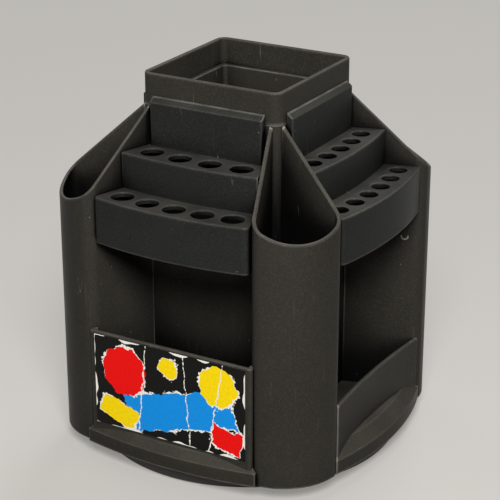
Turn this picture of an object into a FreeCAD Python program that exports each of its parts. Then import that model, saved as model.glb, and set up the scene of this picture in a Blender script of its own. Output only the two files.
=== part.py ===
import FreeCAD, Part
import math
import os
import Sketcher

# A turning desk caddy for drawing tools, in millimetres.
# +Z is up, the origin is on the turning axis at the floor, and the label faces -Y.

SIZES = [
    # Tower and tray
    ("overall_height", 162.0, "floor to the tray's rim"),
    ("tower_width", 64.0, "square tower, outside"),
    ("tower_corner", 4.5, "outside corner radius of the tower"),
    ("wall", 2.0, "general wall of the mouldings"),
    ("edge_round", 0.7, "rounding of the exposed rims"),
    ("fit", 0.2, "gap between mouldings that meet"),
    ("seam_round", 0.35, "rounding of the seam between tower and tray"),
    ("rim_height", 13.0, "tray rim above the tower's top edge"),
    ("tray_depth", 42.0, "tray floor below the rim"),
    ("tray_wall", 1.6, "wall and floor of the tray's cup"),
    ("tray_fit", 0.3, "gap between the cup and the tower"),
    ("tower_floor", 3.0, "floor flange of the tower"),
    ("tower_opening", 22.0, "radius of the hole in the tower's floor"),
    # Base, feet and pivot
    ("foot_stand", 0.8, "floor to the underside of the base"),
    ("foot_seat", 1.2, "depth of a foot's recess in the base"),
    ("foot_radius", 6.0, "rubber foot"),
    ("foot_margin", 9.4, "base's rim to a foot's middle"),
    ("base_margin", 11.4, "ball track to the base's rim"),
    ("base_thickness", 4.2, "plate of the base"),
    ("base_round", 1.0, "rounding of the base's rim"),
    ("post_radius", 6.0, "pivot post on the base"),
    ("running_fit", 0.05, "radial play of the bush on the post"),
    ("axial_play", 0.2, "lift of the deck under the washer"),
    ("bush_wall", 2.0, "wall of the pivot bush"),
    ("bush_flange", 1.0, "thickness of the bush's flange"),
    ("flange_reach", 2.2, "bush flange beyond the bush"),
    ("hub_height", 4.4, "deck hub above the deck"),
    ("hub_wall", 3.0, "wall of the deck hub"),
    ("washer_radius", 10.0, "pivot washer"),
    ("washer_thickness", 1.0, "pivot washer"),
    ("pivot_shank", 1.9, "radius of the pivot screw"),
    ("pivot_reach", 8.0, "pivot screw below the washer"),
    ("pivot_head", 4.5, "head radius of the pivot screw"),
    ("pivot_head_height", 2.6, "head height of the pivot screw"),
    ("thread_fit", 0.03, "gap between a screw and its hole"),
    # Ball ring
    ("race_gap", 2.2, "base to deck"),
    ("race_margin", 4.7, "ball track to the deck's edge"),
    ("ball_diameter", 4.4, "bearing ball"),
    ("ball_play", 0.08, "play of a ball in its track"),
    ("cage_thickness", 0.9, "ball cage"),
    ("cage_width", 9.0, "ball cage, across the ring"),
    ("cage_play", 0.15, "play of a ball in the cage"),
    # Deck and its screws
    ("deck_thickness", 3.2, "floor plate of the carousel"),
    ("screw_shank", 1.45, "radius of a deck screw"),
    ("screw_head", 2.8, "radius of a deck screw's flat head"),
    ("screw_head_height", 1.5, "height of a deck screw's flat head"),
    ("screw_bite", 2.2, "deck screw above the deck"),
    ("tower_screw_reach", 33.0, "axis to a tower screw"),
    ("bin_screw_margin", 8.993, "ball track to a bin screw"),
    # Corner pockets
    ("pocket_reach", 66.6, "axis to the pocket's centre"),
    ("pocket_half", 14.3, "pocket's centre to the outside of a fin"),
    ("pocket_apex", 36.3, "axis to where the two fins would meet"),
    ("pocket_wall", 1.6, "wall of a pocket"),
    ("pocket_floor", 4.0, "floor of a pocket"),
    ("nose_reach", 80.0, "axis to the pocket's nose"),
    ("nose_radius", 25.4, "round of the nose"),
    ("nose_corner", 5.3, "round between the nose and a fin"),
    ("fin_run", 26.9, "level length of the fin's straight slope"),
    ("fin_fall", 27.8, "drop of the fin's straight slope"),
    ("fin_sweep", 66.0, "hollow sweep from the slope to the nose"),
    ("rim_round", 0.6, "rounding of a pocket's rim"),
    # Bins
    ("panel_offset", 6.4, "deck edge to the tall front's face"),
    ("panel_tuck", 8.6, "pocket centre line to a front's end"),
    ("panel_top", 59.3, "height of the tall front"),
    ("low_top", 37.5, "height of a low front"),
    ("low_setback", 1.7, "low front's ends behind the tall front's face"),
    ("low_dish", 1.7, "dish of a low front"),
    ("front_corner", 1.5, "rounding of a front's ends"),
    ("skirt_step", 0.15, "skirt's ends before a front's ends"),
    ("skirt_overhang", 1.8, "skirt's ends beyond a front's ends"),
    ("skirt_bow", 4.4, "bow of the tall front's skirt"),
    ("low_bow", 6.1, "bow of a low front's skirt"),
    ("skirt_edge", 13.1, "height of a skirt's outer edge"),
    ("skirt_bevel", 3.5, "bevel on the tall front's skirt"),
    ("low_bevel", 4.8, "bevel on a low front's skirt"),
    ("bin_floor", 3.0, "floor of a bin"),
    ("label_thickness", 0.25, "sticker on the tall front"),
    ("label_margin", 1.2, "tall front around the sticker"),
    # Racks
    ("rack_gap", 0.75, "gap between a rack and a fin"),
    ("lip_rise", 4.0, "rack lip above the tower's top edge"),
    ("lip_fall", 2.2, "slope of the rack's lip"),
    ("panel_thickness", 2.8, "rack's back panel"),
    ("panel_inset", 0.9, "back panel's ends short of the fins"),
    ("back_height", 20.5, "lip down to the upper step"),
    ("riser_height", 15.1, "upper step down to the lower step"),
    ("apron_height", 19.5, "lower step down to the rack's lower edge"),
    ("upper_depth", 15.9, "tower to the upper step's ends"),
    ("upper_bow", 2.75, "bow of the upper step"),
    ("lower_tread", 15.0, "upper step's ends to the lower step's ends"),
    ("lower_bow", 4.2, "bow of the lower step"),
    ("rack_corner", 2.4, "rounding of the rack's front corners"),
    ("hole_round", 0.5, "rounding of the holes' rims"),
    ("row_margin", 9.0, "least room from a row's last hole to the step's end"),
    ("wide_hole", 9.4, "diameter of the wide holes"),
    ("wide_upper_pitch", 13.9, "wide holes, upper step"),
    ("wide_lower_pitch", 12.8, "wide holes, lower step"),
    ("slim_hole", 7.4, "diameter of the slim holes"),
    ("slim_upper_pitch", 10.7, "slim holes, upper step"),
    ("slim_lower_pitch", 10.8, "slim holes, lower step"),
    ("hook_width", 6.0, "rack hook"),
    ("hook_height", 2.5, "rack hook"),
    ("hook_lip", 1.5, "thickness of the hook's lip"),
    ("hook_offset", 12.0, "rack's middle to a hook"),
    ("hook_rise", 7.0, "rack's lower edge to a hook"),
]

# Places closer than this count as the same place
NEAR = 1e-4

BALL_COUNT = 12
SIDES = {"front": 0, "right": 90, "back": 180, "left": 270}
DIAGONAL = SIDES["right"] / 2
CORNERS = {
    "front_right": SIDES["front"] - DIAGONAL,
    "back_right": SIDES["right"] - DIAGONAL,
    "back_left": SIDES["back"] - DIAGONAL,
    "front_left": SIDES["left"] - DIAGONAL,
}
TALL_SIDE = "front"
WIDE_HOLE_SIDES = ("front", "back")

doc = FreeCAD.newDocument("caddy")
sheet = doc.addObject("Spreadsheet::Sheet", "Sizes")


class Size:
    """A length together with the sheet expression that gives it."""

    def __init__(self, text, number):
        self.text = text
        self.number = number

    def __add__(self, other):
        return combine(self, "+", other)

    def __radd__(self, other):
        return combine(other, "+", self)

    def __sub__(self, other):
        return combine(self, "-", other)

    def __rsub__(self, other):
        return combine(other, "-", self)

    def __mul__(self, other):
        return combine(self, "*", other)

    def __rmul__(self, other):
        return combine(other, "*", self)

    def __truediv__(self, other):
        return combine(self, "/", other)

    def __neg__(self):
        return Size("(-" + self.text + ")", -self.number)


def as_size(value):
    if isinstance(value, Size):
        return value
    return Size(repr(float(value)), float(value))


def combine(first, sign, second):
    first = as_size(first)
    second = as_size(second)
    numbers = {
        "+": lambda a, b: a + b,
        "-": lambda a, b: a - b,
        "*": lambda a, b: a * b,
        "/": lambda a, b: a / b,
    }
    return Size("(" + first.text + sign + second.text + ")", numbers[sign](first.number, second.number))


def root(value):
    return Size("sqrt(" + value.text + ")", math.sqrt(value.number))


def fill_sheet():
    """Write each size to its own cell and return the sizes by name."""
    sizes = {}
    for row, (name, number, meaning) in enumerate(SIZES, start=1):
        sheet.set("A%d" % row, meaning)
        sheet.set("B%d" % row, str(number))
        sheet.setAlias("B%d" % row, name)
        sizes[name] = Size("Sizes." + name, number)
    doc.recompute()
    return sizes


def bind(item, prop, size):
    """Give a property its value and tie it to the sheet."""
    item.setExpression(prop, as_size(size).text)


S = fill_sheet()

# Levels and half widths that several pieces share
tower_half = S["tower_width"] / 2
base_top = S["foot_stand"] + S["base_thickness"]
deck_under = base_top + S["race_gap"]
deck_top = deck_under + S["deck_thickness"]
tower_top = S["overall_height"] - S["rim_height"]
pocket_offset = S["pocket_reach"] / root(as_size(2))
deck_corner = S["nose_reach"] - S["pocket_wall"] - S["fit"] - S["pocket_reach"]
deck_half = pocket_offset + deck_corner
panel_face = deck_half + S["fit"] + S["panel_offset"]
front_half = pocket_offset - S["panel_tuck"]
race_radius = deck_half - S["race_margin"]
base_radius = race_radius + S["base_margin"]
foot_circle = base_radius - S["foot_margin"]
bin_screw_reach = race_radius - S["bin_screw_margin"]
ball_level = base_top + S["race_gap"] / 2
ball_radius = S["ball_diameter"] / 2
track_radius = ball_radius + S["ball_play"]
bush_radius = S["post_radius"] + S["running_fit"] + S["bush_wall"]
hub_top = deck_top + S["hub_height"]
post_top = hub_top + S["bush_flange"] + S["axial_play"]
lip_top = tower_top + S["lip_rise"]
upper_level = lip_top - S["back_height"]
lower_level = upper_level - S["riser_height"]
rack_bottom = lower_level - S["apron_height"]
hook_level = rack_bottom + S["hook_rise"]

# Plan of a fin: its slope away from a side's middle line, and where it leaves the tower
fin_reach = S["pocket_reach"] - S["pocket_apex"]
fin_sine = S["pocket_half"] / fin_reach
fin_cosine = root(1 - fin_sine * fin_sine)
fin_slope = (fin_cosine - fin_sine) / (fin_cosine + fin_sine)
fin_length = root(1 + fin_slope * fin_slope)
apex_offset = S["pocket_apex"] / root(as_size(2))

# Plan of a pocket along its diagonal: centres of the nose's arc and of the arcs beside it
nose_centre = S["nose_reach"] - S["nose_radius"]
corner_apex = S["pocket_apex"] + S["nose_corner"] / fin_sine
corner_gap = S["nose_radius"] - S["nose_corner"]
apex_lead = (nose_centre - corner_apex) * fin_cosine
apex_side = (nose_centre - corner_apex) * fin_sine
corner_travel = apex_lead + root(corner_gap * corner_gap - apex_side * apex_side)
corner_x = corner_apex + corner_travel * fin_cosine
corner_y = corner_travel * fin_sine


def fin_half_width(depth, gap):
    """Half the room between two fins at a distance from the axis, less a gap."""
    return apex_offset + (depth - apex_offset) * fin_slope - gap * fin_length


def new_body(label, turn=0):
    body = doc.addObject("PartDesign::Body", label)
    body.Label = label
    spun = FreeCAD.Rotation(FreeCAD.Vector(0, 0, 1), turn)
    body.Placement = FreeCAD.Placement(FreeCAD.Vector(0, 0, 0), spun)
    return body


def new_sketch(body, plane, level=0, turn=0):
    """Start a sketch on one of the body's own planes, lifted along the plane's normal."""
    sketch = body.newObject("Sketcher::SketchObject", body.Label + "_outline")
    support = [item for item in body.Origin.OriginFeatures if item.Role == plane][0]
    sketch.AttachmentSupport = [(support, "")]
    sketch.MapMode = "FlatFace"
    spin = FreeCAD.Rotation(FreeCAD.Vector(0, 0, 1), turn)
    sketch.AttachmentOffset = FreeCAD.Placement(FreeCAD.Vector(0, 0, 0), spin)
    bind(sketch, "AttachmentOffset.Base.z", level)
    return sketch


def pin(sketch, geometry, end, x, y):
    """Hold one end of a line or arc at a place from the sheet."""
    for kind, size, axis in (("DistanceX", as_size(x), -2), ("DistanceY", as_size(y), -1)):
        if size.text == "0.0":
            sketch.addConstraint(Sketcher.Constraint("PointOnObject", geometry, end, axis))
        else:
            made = sketch.addConstraint(Sketcher.Constraint(kind, -1, 1, geometry, end, size.number))
            bind(sketch, "Constraints[%d]" % made, size)


def arc_between(start, end, radius, left, large):
    """The arc from start to end that turns left or right, the long way round if large."""
    chord = end - start
    rise = math.sqrt(max(radius * radius - chord.Length * chord.Length / 4, 0))
    normal = FreeCAD.Vector(-chord.y, chord.x, 0).normalize()
    side = 1 if left != large else -1
    centre = (start + end) / 2 + normal * rise * side
    first, last = (start, end) if left else (end, start)
    angles = [math.atan2(point.y - centre.y, point.x - centre.x) for point in (first, last)]
    if angles[1] < angles[0]:
        angles[1] += 2 * math.pi
    circle = Part.Circle(centre, FreeCAD.Vector(0, 0, 1), radius)
    return Part.ArcOfCircle(circle, angles[0], angles[1])


def draw(sketch, path):
    """Draw a closed outline. Each corner is (x, y), or (x, y, radius, turn) after an arc.

    The turn is left or right, with large for an arc of more than half a circle.
    """
    corners = [FreeCAD.Vector(as_size(step[0]).number, as_size(step[1]).number, 0) for step in path]
    ends = []
    for index, step in enumerate(path):
        start = corners[index - 1]
        stop = corners[index]
        if len(step) == 2:
            made = sketch.addGeometry(Part.LineSegment(start, stop))
            ends.append((made, 1, 2))
            continue
        radius = as_size(step[2])
        left = step[3].startswith("left")
        made = sketch.addGeometry(arc_between(start, stop, radius.number, left, step[3].endswith("large")))
        held = sketch.addConstraint(Sketcher.Constraint("Radius", made, radius.number))
        bind(sketch, "Constraints[%d]" % held, radius)
        ends.append((made, 1, 2) if left else (made, 2, 1))
    for index, step in enumerate(path):
        made, _, last = ends[index]
        after, first, _ = ends[(index + 1) % len(path)]
        sketch.addConstraint(Sketcher.Constraint("Coincident", made, last, after, first))
        pin(sketch, made, last, step[0], step[1])


def circle(sketch, x, y, radius):
    place = FreeCAD.Vector(as_size(x).number, as_size(y).number, 0)
    made = sketch.addGeometry(Part.Circle(place, FreeCAD.Vector(0, 0, 1), as_size(radius).number))
    held = sketch.addConstraint(Sketcher.Constraint("Radius", made, as_size(radius).number))
    bind(sketch, "Constraints[%d]" % held, radius)
    pin(sketch, made, 3, x, y)


def rounded_square(half, corner):
    """A square outline about the axis with round corners."""
    flat = half - corner
    path = []
    for x, y, along_x, along_y in ((1, -1, 0, 1), (1, 1, -1, 0), (-1, 1, 0, -1), (-1, -1, 1, 0)):
        start = (x * flat, y * half) if along_y else (x * half, y * flat)
        end = (x * half, y * flat) if along_y else (x * flat, y * half)
        path.append(start)
        path.append((end[0], end[1], corner, "left"))
    return path


def extrude(body, kind, sketch, length, up=True, both=False):
    """A pad or pocket of a sketch, up along its normal unless told otherwise."""
    feature = body.newObject("PartDesign::" + kind, body.Label + "_" + kind.lower())
    feature.Profile = sketch
    if both:
        feature.SideType = "Symmetric"
    pads_down = kind == "Pocket"
    feature.Reversed = up == pads_down
    bind(feature, "Length", length)
    sketch.Visibility = False
    doc.recompute()
    return feature


def pad(body, path, low, high, turn=0):
    sketch = new_sketch(body, "XY_Plane", low, turn)
    draw(sketch, path)
    return extrude(body, "Pad", sketch, high - low)


def pocket(body, path, low, high, turn=0):
    """Cut an outline out of a body between two levels, and make sure that it cut something."""
    before = body.Shape.Volume
    sketch = new_sketch(body, "XY_Plane", low, turn)
    draw(sketch, path)
    feature = extrude(body, "Pocket", sketch, high - low)
    assert body.Shape.Volume < before, body.Label + " was not cut"
    return feature


def drill(body, places, radius, low, high):
    """Round holes between two levels, at places in plan."""
    before = body.Shape.Volume
    sketch = new_sketch(body, "XY_Plane", low)
    for x, y in places:
        circle(sketch, x, y, radius)
    feature = extrude(body, "Pocket", sketch, high - low)
    assert body.Shape.Volume < before, body.Label + " was not drilled"
    return feature


def spin(body, kind, sketch):
    """Turn a sketch of the XZ plane right round the axis, to add or to cut."""
    feature = body.newObject("PartDesign::" + kind, body.Label + "_" + kind.lower())
    feature.Profile = sketch
    feature.ReferenceAxis = (sketch, ["V_Axis"])
    feature.Angle = 360
    sketch.Visibility = False
    doc.recompute()
    return feature


def turned(body, path):
    """Turn a half section about the axis: x is the radius and y the height."""
    sketch = new_sketch(body, "XZ_Plane")
    draw(sketch, path)
    return spin(body, "Revolution", sketch)


def soften(body, kind, size, wanted):
    """Fillet or chamfer the edges of the body's latest feature that pass a test."""
    base = body.Tip
    names = ["Edge%d" % number for number, edge in enumerate(base.Shape.Edges, start=1) if wanted(edge)]
    feature = body.newObject("PartDesign::" + kind, body.Label + "_" + kind.lower())
    feature.Base = (base, names)
    bind(feature, "Radius" if kind == "Fillet" else "Size", size)
    doc.recompute()
    return feature


def lies_at(edge, level):
    """Whether an edge lies flat at a height."""
    box = edge.BoundBox
    return abs(box.ZMin - level.number) < NEAR and abs(box.ZMax - level.number) < NEAR


def reaches(edge, distance):
    """Whether an edge comes further from the axis than a distance, along X or Y."""
    box = edge.BoundBox
    return max(-box.XMin, box.XMax, -box.YMin, box.YMax) > distance.number


def is_upright(edge):
    box = edge.BoundBox
    return box.XLength < NEAR and box.YLength < NEAR


def make_base():
    """The still base: a round plate with a ball track, a pivot post and recesses for the feet."""
    body = new_body("turntable_base")
    chord = root(track_radius * track_radius - S["race_gap"] * S["race_gap"] / 4)
    bore = S["pivot_shank"] + S["thread_fit"]
    bore_floor = post_top - S["pivot_reach"] - S["thread_fit"]
    turned(body, [
        (0, S["foot_stand"]),
        (base_radius, S["foot_stand"]),
        (base_radius, base_top - S["base_round"]),
        (base_radius - S["base_round"], base_top, S["base_round"], "left"),
        (race_radius + chord, base_top),
        (race_radius - chord, base_top, track_radius, "right"),
        (S["post_radius"], base_top),
        (S["post_radius"], post_top),
        (bore, post_top),
        (bore, bore_floor),
        (0, bore_floor),
    ])
    underside = S["foot_stand"]
    drill(body, foot_places(), S["foot_radius"] + S["fit"], underside, underside + S["foot_seat"])


def foot_places():
    arm = foot_circle / root(as_size(2))
    return [(arm, -arm), (arm, arm), (-arm, arm), (-arm, -arm)]


def make_feet():
    """Rubber feet that stand proud of the base's underside."""
    for number, (x, y) in enumerate(foot_places(), start=1):
        body = new_body("foot_pad_%d" % number)
        sketch = new_sketch(body, "XY_Plane")
        circle(sketch, x, y, S["foot_radius"])
        extrude(body, "Pad", sketch, S["foot_stand"] + S["foot_seat"])
        soften(body, "Fillet", S["foot_stand"] / 2, lambda edge: lies_at(edge, as_size(0)))


def make_ball_ring():
    """The cage and its loose balls, which roll between the base and the deck."""
    body = new_body("ball_cage")
    low = ball_level - S["cage_thickness"] / 2
    sketch = new_sketch(body, "XY_Plane", low)
    for side in (-1, 1):
        circle(sketch, 0, 0, race_radius + side * S["cage_width"] / 2)
    extrude(body, "Pad", sketch, S["cage_thickness"])
    sketch = new_sketch(body, "XY_Plane", low)
    circle(sketch, race_radius, 0, ball_radius + S["cage_play"])
    hole = extrude(body, "Pocket", sketch, S["cage_thickness"])
    pattern = body.newObject("PartDesign::PolarPattern", "ball_cage_holes")
    pattern.Originals = [hole]
    pattern.Axis = (sketch, ["N_Axis"])
    pattern.Angle = 360
    pattern.Occurrences = BALL_COUNT
    body.Tip = pattern
    balls = []
    for number in range(BALL_COUNT):
        turn = 360.0 * number / BALL_COUNT
        ball = doc.addObject("Part::Sphere", "bearing_ball_%d" % number)
        bind(ball, "Radius", ball_radius)
        cosine = Size("cos(%r)" % turn, math.cos(math.radians(turn)))
        sine = Size("sin(%r)" % turn, math.sin(math.radians(turn)))
        bind(ball, "Placement.Base.x", race_radius * cosine)
        bind(ball, "Placement.Base.y", race_radius * sine)
        bind(ball, "Placement.Base.z", ball_level)
        balls.append(ball)
    group = doc.addObject("Part::Compound", "bearing_balls")
    group.Links = balls


def screw_places():
    """Where screws hold the tower, the pockets and the bins to the deck."""
    places = []
    for reach in (S["tower_screw_reach"] / root(as_size(2)), pocket_offset):
        places += [(reach, -reach), (reach, reach), (-reach, reach), (-reach, -reach)]
    reach = bin_screw_reach
    return places + [(0, -reach), (reach, 0), (0, reach), (-reach, 0)]


def pilot_holes(body, places):
    """Blind holes for the deck screws in the underside of what stands on the deck."""
    depth = deck_top + S["screw_bite"] + S["thread_fit"]
    drill(body, places, S["screw_shank"] + S["thread_fit"], deck_top, depth)


def make_deck():
    """The floor plate that turns: ball track below, pivot hub in the middle, countersunk holes."""
    body = new_body("deck")
    pad(body, rounded_square(deck_half, deck_corner), deck_under, deck_top)
    hub = bush_radius + S["hub_wall"]
    sketch = new_sketch(body, "XY_Plane", deck_under)
    circle(sketch, 0, 0, hub)
    extrude(body, "Pad", sketch, hub_top - deck_under)
    drill(body, [(0, 0)], bush_radius, deck_under, hub_top)
    sketch = new_sketch(body, "XZ_Plane")
    circle(sketch, race_radius, ball_level, track_radius)
    spin(body, "Groove", sketch)
    drill(body, screw_places(), S["screw_head"] + S["fit"], deck_under, deck_under + S["screw_head_height"])
    drill(body, screw_places(), S["screw_shank"] + S["thread_fit"], deck_under, deck_top)


def make_screws():
    """Flat-headed screws driven up through the deck."""
    screws = []
    for number, (x, y) in enumerate(screw_places()):
        head = doc.addObject("Part::Cylinder", "screw_head_%d" % number)
        bind(head, "Radius", S["screw_head"])
        bind(head, "Height", S["screw_head_height"])
        shank = doc.addObject("Part::Cylinder", "screw_shank_%d" % number)
        bind(shank, "Radius", S["screw_shank"])
        bind(shank, "Height", S["deck_thickness"] + S["screw_bite"])
        for piece in (head, shank):
            bind(piece, "Placement.Base.x", x)
            bind(piece, "Placement.Base.y", y)
            bind(piece, "Placement.Base.z", deck_under)
        screw = doc.addObject("Part::Fuse", "deck_screw_%d" % number)
        screw.Base = head
        screw.Tool = shank
        screws.append(screw)
    group = doc.addObject("Part::Compound", "deck_screws")
    group.Links = screws


def make_pivot():
    """Bush in the deck's hub, with the washer and screw that hold it on the base's post."""
    inner = S["post_radius"] + S["running_fit"]
    flange = bush_radius + S["flange_reach"]
    turned(new_body("pivot_bush"), [
        (inner, deck_under),
        (bush_radius, deck_under),
        (bush_radius, hub_top),
        (flange, hub_top),
        (flange, hub_top + S["bush_flange"]),
        (inner, hub_top + S["bush_flange"]),
    ])
    washer_top = post_top + S["washer_thickness"]
    bore = S["pivot_shank"] + S["thread_fit"]
    turned(new_body("pivot_washer"), [
        (bore, post_top),
        (S["washer_radius"], post_top),
        (S["washer_radius"], washer_top),
        (bore, washer_top),
    ])
    head_top = washer_top + S["pivot_head_height"]
    screw = new_body("pivot_screw")
    turned(screw, [
        (0, post_top - S["pivot_reach"]),
        (S["pivot_shank"], post_top - S["pivot_reach"]),
        (S["pivot_shank"], washer_top),
        (S["pivot_head"], washer_top),
        (S["pivot_head"], head_top),
        (0, head_top),
    ])
    soften(screw, "Fillet", S["pivot_head_height"] / 2, lambda edge: lies_at(edge, head_top))


def make_tower():
    """The square tower with its floor flange and the slots that the rack hooks drop into."""
    body = new_body("tower")
    inner = tower_half - S["wall"]
    pad(body, rounded_square(tower_half, S["tower_corner"]), deck_top, tower_top)
    floor_top = deck_top + S["tower_floor"]
    pocket(body, rounded_square(inner, S["tower_corner"] - S["wall"]), floor_top, tower_top)
    drill(body, [(0, 0)], S["tower_opening"], deck_top, floor_top)
    soften(body, "Fillet", S["seam_round"], lambda edge: lies_at(edge, tower_top) and reaches(edge, inner))
    slot_half = S["hook_width"] / 2 + S["fit"]
    slot_high = hook_level + 2 * S["hook_height"] + S["fit"]
    for plane in ("XZ_Plane", "YZ_Plane"):
        for side in (-1, 1):
            middle = side * S["hook_offset"]
            sketch = new_sketch(body, plane)
            draw(sketch, [
                (middle - slot_half, hook_level),
                (middle + slot_half, hook_level),
                (middle + slot_half, slot_high),
                (middle - slot_half, slot_high),
            ])
            extrude(body, "Pocket", sketch, S["tower_width"] + S["fit"], both=True)
    pilot_holes(body, screw_places()[:4])


def make_tray():
    """The open tray: a rim flush with the tower and a cup that drops inside it."""
    body = new_body("top_tray")
    top = S["overall_height"]
    cup = tower_half - S["wall"] - S["tray_fit"]
    cup_corner = S["tower_corner"] - S["wall"]
    floor_top = top - S["tray_depth"]
    pad(body, rounded_square(tower_half, S["tower_corner"]), tower_top, top)
    pad(body, rounded_square(cup, cup_corner), floor_top - S["tray_wall"], tower_top)
    pocket(body, rounded_square(tower_half - S["wall"], cup_corner), tower_top + S["tray_wall"], top)
    room = rounded_square(cup - S["tray_wall"], cup_corner - S["tray_wall"] / 2)
    pocket(body, room, floor_top, tower_top + S["tray_wall"])
    soften(body, "Fillet", S["edge_round"], lambda edge: lies_at(edge, top))
    inner = tower_half - S["wall"]
    soften(body, "Fillet", S["seam_round"], lambda edge: lies_at(edge, tower_top) and reaches(edge, inner))


def pocket_plan(inset):
    """Plan of a pocket along its own diagonal, taken in by an inset: two fins and a round nose."""
    corner = S["nose_corner"] - inset
    nose = S["nose_radius"] - inset
    apex = S["pocket_apex"] + inset / fin_sine
    leave_x = corner_x - corner * fin_sine
    leave_y = corner_y + corner * fin_cosine
    join_x = nose_centre + (corner_x - nose_centre) * nose / corner_gap
    join_y = corner_y * nose / corner_gap
    return [
        (apex, 0),
        (leave_x, -leave_y),
        (join_x, -join_y, corner, "left"),
        (join_x, join_y, nose, "left"),
        (leave_x, leave_y, corner, "left"),
    ]


def make_pocket(corner, turn):
    """A deep corner pocket: two fins that butt on the tower, a round nose and a sweeping top edge."""
    body = new_body("pocket_" + corner, turn)
    apex = S["pocket_apex"]
    sweep = S["fin_sweep"]
    fall = S["fin_fall"] / S["fin_run"]
    length = root(1 + fall * fall)
    fin_start = (tower_half + fin_half_width(tower_half, 0)) / root(as_size(2))
    peak = tower_top + fall * (fin_start - apex)
    bend = fin_start + S["fin_run"]
    bend_level = tower_top - S["fin_fall"]
    far = S["nose_reach"] + S["wall"]
    beyond = bend + sweep * fall / length - far
    far_level = bend_level + sweep / length - root(sweep * sweep - beyond * beyond)
    pad(body, pocket_plan(as_size(0)), deck_under, peak)
    pocket(body, pocket_plan(S["pocket_wall"]), deck_top + S["pocket_floor"], peak)
    before = body.Shape.Volume
    sketch = new_sketch(body, "XZ_Plane")
    draw(sketch, [(apex, peak), (bend, bend_level), (far, far_level, sweep, "left"), (far, peak)])
    extrude(body, "Pocket", sketch, 2 * S["nose_reach"], both=True)
    assert body.Shape.Volume < before, "the fins were not sloped"
    lowest = (far_level - S["wall"]).number
    soften(body, "Fillet", S["rim_round"], lambda edge: edge.BoundBox.ZMin > lowest
           and not is_upright(edge) and edge.Length > S["wall"].number)
    gap = S["fit"]
    pocket(body, rounded_square(tower_half + gap, S["tower_corner"] + gap), deck_under, peak, DIAGONAL)
    pocket(body, rounded_square(deck_half + gap, deck_corner + gap), deck_under, deck_top, DIAGONAL)
    pilot_holes(body, [(S["pocket_reach"], 0)])


def bow_radius(half, bow):
    return (half * half + bow * bow) / (2 * bow)


def mirrored(path, across=()):
    """Close an outline that is given for x above zero, from the front to the back.

    The back may be crossed by an arc, given as its radius and turn.
    """
    other = []
    for index, step in enumerate(reversed(path)):
        arc = path[len(path) - index][2:] if index else across
        other.append((-step[0], step[1]) + arc)
    return path + other


def make_bin(side, turn):
    """A bin between two pockets: its bowed skirt, its floor and its front wall."""
    body = new_body("bin_" + side, turn)
    gap = S["fit"]
    tall = side == TALL_SIDE
    top = S["panel_top"] if tall else S["low_top"]
    face = panel_face if tall else panel_face - S["low_setback"]
    dish = None if tall else S["low_dish"]
    bow = S["skirt_bow"] if tall else S["low_bow"]
    bevel = S["skirt_bevel"] if tall else S["low_bevel"]
    skirt_end = face + S["skirt_step"]
    skirt_half = front_half + S["skirt_overhang"]
    skirt_back = deck_half + gap
    skirt_top = S["skirt_edge"] + bevel
    pad(body, [
        (-skirt_half, -skirt_back),
        (-skirt_half, -skirt_end),
        (skirt_half, -skirt_end, bow_radius(skirt_half, bow), "left"),
        (skirt_half, -skirt_back),
    ], deck_under, skirt_top)
    back_line = -skirt_back.number
    soften(body, "Chamfer", bevel, lambda edge: lies_at(edge, skirt_top)
           and edge.BoundBox.YMin < back_line)
    tower_face = tower_half + gap
    floor_top = deck_top + S["bin_floor"]
    pad(body, mirrored([
        (front_half, -skirt_back),
        (fin_half_width(tower_face, 0), -tower_face),
    ]), deck_top, floor_top)
    pad(body, front_wall(face, dish), deck_top, top)
    pocket(body, bin_room(face, dish), floor_top, skirt_top)
    soften(body, "Fillet", S["edge_round"], lambda edge: lies_at(edge, top)
           and edge.Length > front_half.number)
    for corner_turn in (CORNERS["front_right"], CORNERS["front_left"]):
        pocket(body, pocket_plan(-gap), deck_under, top, corner_turn)
    pilot_holes(body, [(0, -bin_screw_reach)])


def front_wall(face, dish):
    """Plan of a bin's front wall, flat or dished, with ends that return to the pockets."""
    corner = S["front_corner"]
    straight = front_half - corner
    inner = front_half - S["wall"]
    back = deck_half + S["fit"]
    outer_arc = (bow_radius(straight, dish), "right") if dish else ()
    inner_arc = (bow_radius(inner, dish), "left") if dish else ()
    return mirrored([
        (straight, -face) + outer_arc,
        (front_half, -(face - corner), corner, "left"),
        (front_half, -back),
        (inner, -back),
        (inner, -(face - S["wall"])),
    ], inner_arc)


def bin_room(face, dish):
    """Plan of the room between a bin's front wall and the deck's edge, above the skirt."""
    inner = front_half - S["wall"]
    arc = (bow_radius(inner, dish), "right") if dish else ()
    return mirrored([
        (inner, -(face - S["wall"])) + arc,
        (inner, -deck_half),
    ])


def make_label():
    """The sticker on the tall front."""
    label = doc.addObject("Part::Box", "label")
    margin = S["label_margin"]
    straight = front_half - S["front_corner"]
    low = S["skirt_edge"] + S["skirt_bevel"]
    bind(label, "Length", 2 * (straight - margin))
    bind(label, "Width", S["label_thickness"])
    bind(label, "Height", S["panel_top"] - low - 2 * margin)
    bind(label, "Placement.Base.x", margin - straight)
    bind(label, "Placement.Base.y", -(panel_face + S["label_thickness"]))
    bind(label, "Placement.Base.z", low + margin)


def step_outline(ends, bow, inset):
    """Plan of a rack's step with a bowed front, taken in all round by an inset."""
    gap = S["rack_gap"] + inset
    depth = ends - inset
    back = tower_half + S["fit"] + inset
    half = fin_half_width(depth, gap)
    return mirrored([
        (half, -depth, bow_radius(half, bow), "left"),
        (fin_half_width(back, gap), -back),
    ])


def hole_places(pitch, middle, ends, bow):
    """A row of holes that follows the bow of its step, as many as the step has room for."""
    half = fin_half_width(ends, S["rack_gap"])
    count = 1 + int((2 * (half - S["row_margin"]) / pitch).number)
    places = []
    for number in range(count):
        x = (number - (count - 1) / 2) * pitch
        places.append((x, bow * x * x / (half * half) - middle))
    return places


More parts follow.
